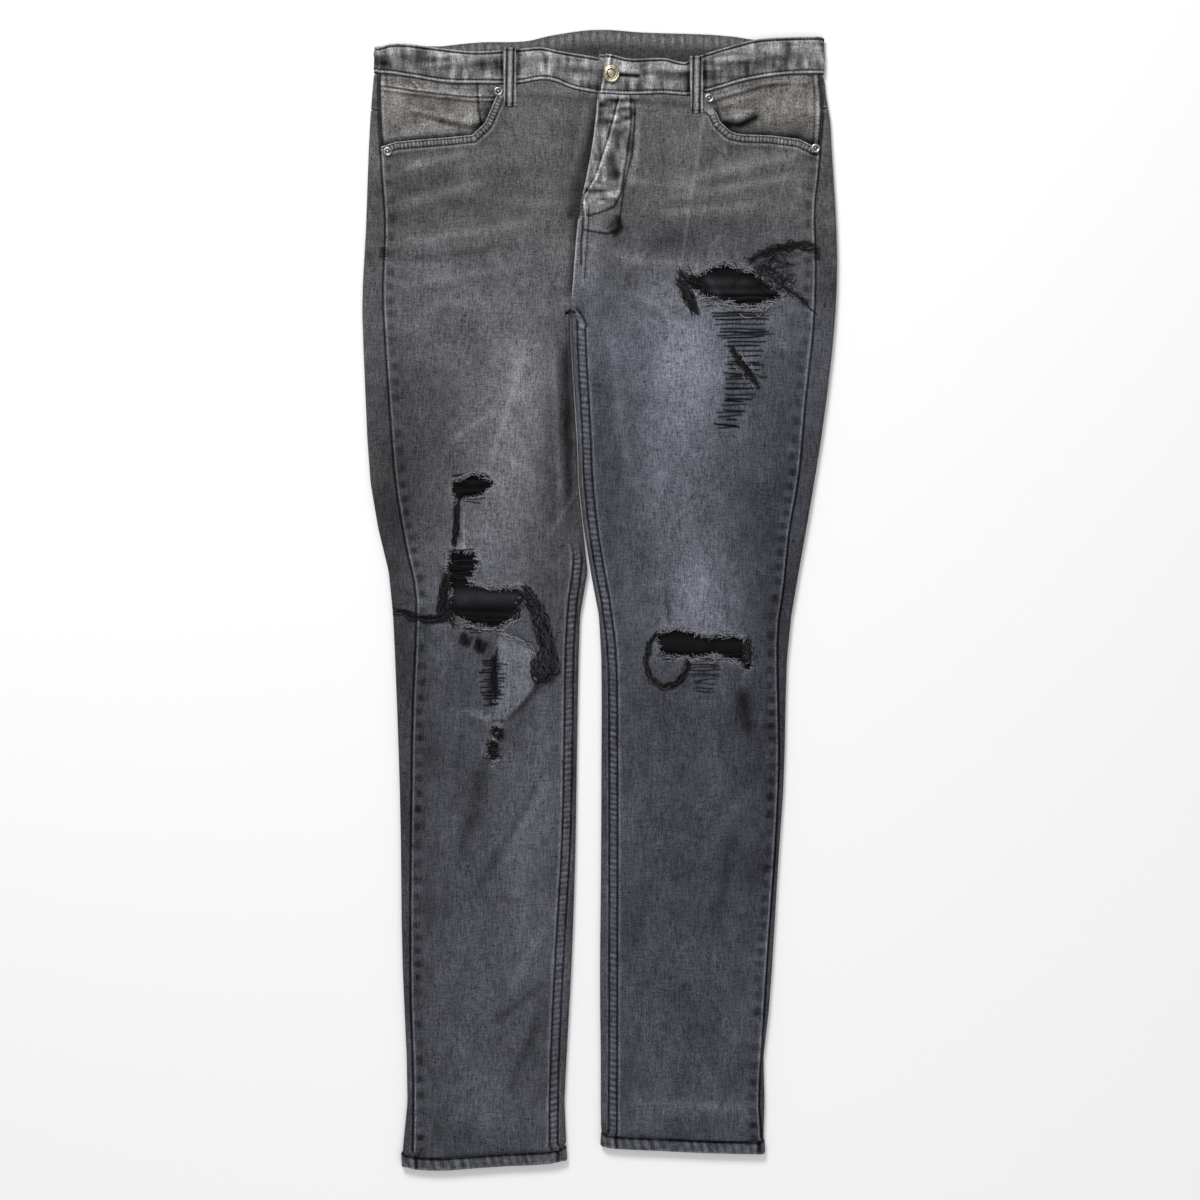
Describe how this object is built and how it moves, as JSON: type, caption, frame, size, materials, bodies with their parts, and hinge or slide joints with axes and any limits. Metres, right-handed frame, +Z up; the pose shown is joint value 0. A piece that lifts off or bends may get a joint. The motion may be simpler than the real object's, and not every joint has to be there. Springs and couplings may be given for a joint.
{
  "type": "ripped jeans laid flat",
  "caption": "Ripped jeans in washed dark grey denim, laid flat with the front up, fly and button closed, with torn thigh and knees over backing cloth.",
  "frame": {"origin": "centre of the bounding box, on the surface that the jeans lie on", "axes": "+Z up, out of the front of the jeans; +Y from the hems to the waist; +X to the viewer's right, which is the wearer's left"},
  "size_m": [0.4506, 1.0824, 0.0106],
  "materials": {
    "denim": "washed dark grey cotton twill with pale worn ridges",
    "facing_cloth": "warm grey twill",
    "backing_cloth": "charcoal cotton",
    "black_thread": "matt cotton thread",
    "antique_brass": null,
    "nickel": "rubbed bright rim, dark centre"
  },
  "bodies": {
    "root": {"front_left": "denim", "front_right": "denim", "back_left": "denim", "back_right": "denim", "yoke_left": "denim", "yoke_right": "denim", "waistband": "denim", "hem_left": "denim", "hem_right": "denim", "back_pocket_left": "denim", "back_pocket_right": "denim", "belt_loop_front_left": "denim", "belt_loop_front_right": "denim", "belt_loop_back_left": "denim", "belt_loop_back_centre": "denim", "belt_loop_back_right": "denim", "pocket_facing_left": "facing_cloth", "pocket_facing_right": "facing_cloth", "coin_pocket": "facing_cloth", "backing_thigh": "backing_cloth", "backing_knee_left": "backing_cloth", "backing_knee_right": "backing_cloth", "zip": "backing_cloth", "thread_loop_knee_left": "black_thread", "thread_loop_knee_right": "black_thread", "thread_loop_thigh": "black_thread", "thread_strand_knee": "black_thread", "button": "antique_brass", "rivet_1": "nickel", "rivet_2": "nickel", "rivet_3": "nickel", "rivet_4": "nickel"}
  },
  "joints": []
}
